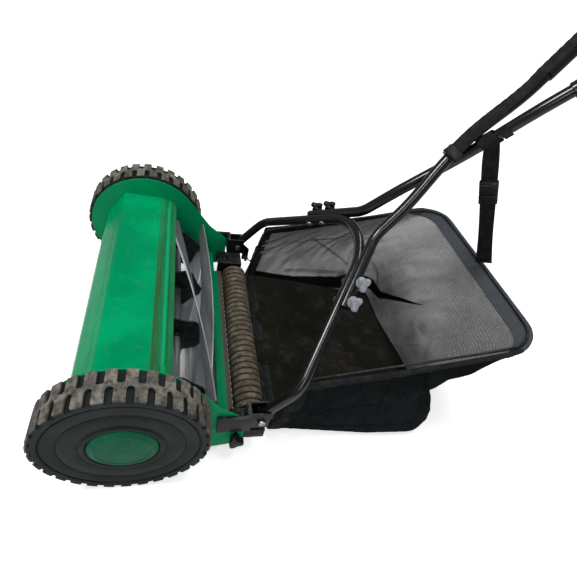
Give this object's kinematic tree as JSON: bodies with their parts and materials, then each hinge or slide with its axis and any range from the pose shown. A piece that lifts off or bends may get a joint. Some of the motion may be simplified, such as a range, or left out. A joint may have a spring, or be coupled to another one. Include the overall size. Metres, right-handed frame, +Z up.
{
  "type": "reel mower",
  "caption": "Hand-pushed reel lawn mower: treaded wheels geared to a helical blade reel, rear roller, crossed-tube handle and hooked fabric grass bag",
  "frame": {"origin": "on the ground under the middle of the whole mower's bounding box", "axes": "+Z up, -Y the driving direction, +X the left of a user who walks behind the mower"},
  "size_m": [0.534, 1.0056, 0.9975],
  "materials": {
    "green_paint": "gloss powder coat",
    "black_paint": "gloss black enamel",
    "black_plastic": "moulded, satin",
    "green_plastic": "moulded, satin",
    "knob_plastic": "silver-grey moulding",
    "bright_steel": "zinc plated",
    "blade_steel": "oiled hardened steel",
    "roller_wood": "turned, grooved, dusty",
    "grip_foam": "closed-cell foam",
    "bag_cloth": "woven polyester",
    "black_webbing": "woven nylon webbing"
  },
  "bodies": {
    "frame": {"left_side_plate": "green_paint", "right_side_plate": "green_paint", "reel_cover": "green_paint", "bed_bar": "green_paint", "bed_knife": "blade_steel", "left_axle_stub": "bright_steel", "right_axle_stub": "bright_steel", "left_reel_bearing": "bright_steel", "right_reel_bearing": "bright_steel", "left_handle_bracket": "black_paint", "right_handle_bracket": "black_paint", "left_pivot_bolt": "bright_steel", "right_pivot_bolt": "bright_steel"},
    "roller_carriage": {"left_roller_bracket": "black_paint", "right_roller_bracket": "black_paint", "roller_axle": "bright_steel"},
    "roller": {"roller": "roller_wood"},
    "left_wheel": {"left_wheel": "black_plastic", "left_ring_gear": "black_plastic", "left_hub_cap": "green_plastic"},
    "right_wheel": {"right_wheel": "black_plastic", "right_ring_gear": "black_plastic", "right_hub_cap": "green_plastic"},
    "reel": {"reel_shaft": "bright_steel", "reel_blade_1": "blade_steel", "reel_blade_2": "blade_steel", "reel_blade_3": "blade_steel", "reel_blade_4": "blade_steel", "reel_blade_5": "blade_steel", "reel_spider_1": "black_paint", "reel_spider_2": "black_paint", "reel_spider_3": "black_paint", "reel_spider_4": "black_paint", "left_pinion": "black_plastic", "right_pinion": "black_plastic"},
    "handle": {"lower_arch": "black_paint", "left_upper_tube": "black_paint", "right_upper_tube": "black_paint", "handle_loop": "black_paint", "left_grip": "grip_foam", "right_grip": "grip_foam", "crossing_rivet": "bright_steel", "left_joint_bolt_1": "bright_steel", "left_joint_bolt_2": "bright_steel", "right_joint_bolt_1": "bright_steel", "right_joint_bolt_2": "bright_steel", "tri_glide": "black_plastic", "handle_webbing": "black_webbing"},
    "bag": {"grass_bag": "bag_cloth", "bag_frame": "black_paint"},
    "strap": {"upper_webbing": "black_webbing", "buckle_socket": "black_plastic", "buckle_plug": "black_plastic", "lower_webbing": "black_webbing"},
    "left_height_knob": {"left_height_knob": "black_plastic"},
    "right_height_knob": {"right_height_knob": "black_plastic"},
    "left_joint_knob_1": {"left_joint_knob_1": "knob_plastic"},
    "left_joint_knob_2": {"left_joint_knob_2": "knob_plastic"},
    "right_joint_knob_1": {"right_joint_knob_1": "knob_plastic"},
    "right_joint_knob_2": {"right_joint_knob_2": "knob_plastic"}
  },
  "joints": [
    {"name": "reel_spin", "type": "hinge", "parent": "frame", "child": "reel", "pos_m": [0, -0.33281, 0.08543], "axis": [1, 0, 0], "continuous": true},
    {"name": "left_wheel_spin", "type": "hinge", "parent": "frame", "child": "left_wheel", "pos_m": [0.241, -0.39483, 0.108], "axis": [1, 0, 0], "continuous": true},
    {"name": "right_wheel_spin", "type": "hinge", "parent": "frame", "child": "right_wheel", "pos_m": [-0.241, -0.39483, 0.108], "axis": [1, 0, 0], "continuous": true},
    {"name": "roller_height", "type": "slide", "parent": "frame", "child": "roller_carriage", "axis": [0, 0, 1], "range_m": [-0.012, 0.008]},
    {"name": "roller_spin", "type": "hinge", "parent": "roller_carriage", "child": "roller", "pos_m": [0, -0.21481, 0.0255], "axis": [1, 0, 0], "continuous": true},
    {"name": "handle_pitch", "type": "hinge", "parent": "frame", "child": "handle", "pos_m": [0, -0.20981, 0.08], "axis": [1, 0, 0], "range_deg": [0, 15]},
    {"name": "bag_tilt", "type": "hinge", "parent": "frame", "child": "bag", "pos_m": [0, -0.19031, 0.055], "axis": [1, 0, 0], "range_deg": [0, 15.07]},
    {"name": "strap_swing", "type": "hinge", "parent": "handle", "child": "strap", "pos_m": [0, 0.08905, 0.45565], "axis": [1, 0, 0], "range_deg": [-1.81, 0]},
    {"name": "left_height_knob_turn", "type": "hinge", "parent": "roller_carriage", "child": "left_height_knob", "pos_m": [0.2169, -0.24381, 0.04], "axis": [1, 0, 0], "continuous": true},
    {"name": "right_height_knob_turn", "type": "hinge", "parent": "roller_carriage", "child": "right_height_knob", "pos_m": [-0.2169, -0.24381, 0.04], "axis": [-1, 0, 0], "continuous": true},
    {"name": "left_joint_knob_1_turn", "type": "hinge", "parent": "handle", "child": "left_joint_knob_1", "pos_m": [0.09728, -0.0768, 0.25209], "axis": [0.7193, 0.4248, 0.5496], "continuous": true},
    {"name": "left_joint_knob_2_turn", "type": "hinge", "parent": "handle", "child": "left_joint_knob_2", "pos_m": [0.11951, -0.09088, 0.23388], "axis": [0.7193, 0.4248, 0.5496], "continuous": true},
    {"name": "right_joint_knob_1_turn", "type": "hinge", "parent": "handle", "child": "right_joint_knob_1", "pos_m": [-0.09728, -0.0768, 0.25209], "axis": [-0.7193, 0.4248, 0.5496], "continuous": true},
    {"name": "right_joint_knob_2_turn", "type": "hinge", "parent": "handle", "child": "right_joint_knob_2", "pos_m": [-0.11951, -0.09088, 0.23388], "axis": [-0.7193, 0.4248, 0.5496], "continuous": true}
  ],
  "couplings": [
    {"joint": "left_wheel_spin", "follows": "reel_spin", "ratio": 0.2},
    {"joint": "right_wheel_spin", "follows": "reel_spin", "ratio": 0.2},
    {"joint": "bag_tilt", "follows": "handle_pitch", "ratio": 1.005},
    {"joint": "strap_swing", "follows": "handle_pitch", "ratio": -0.1205}
  ]
}
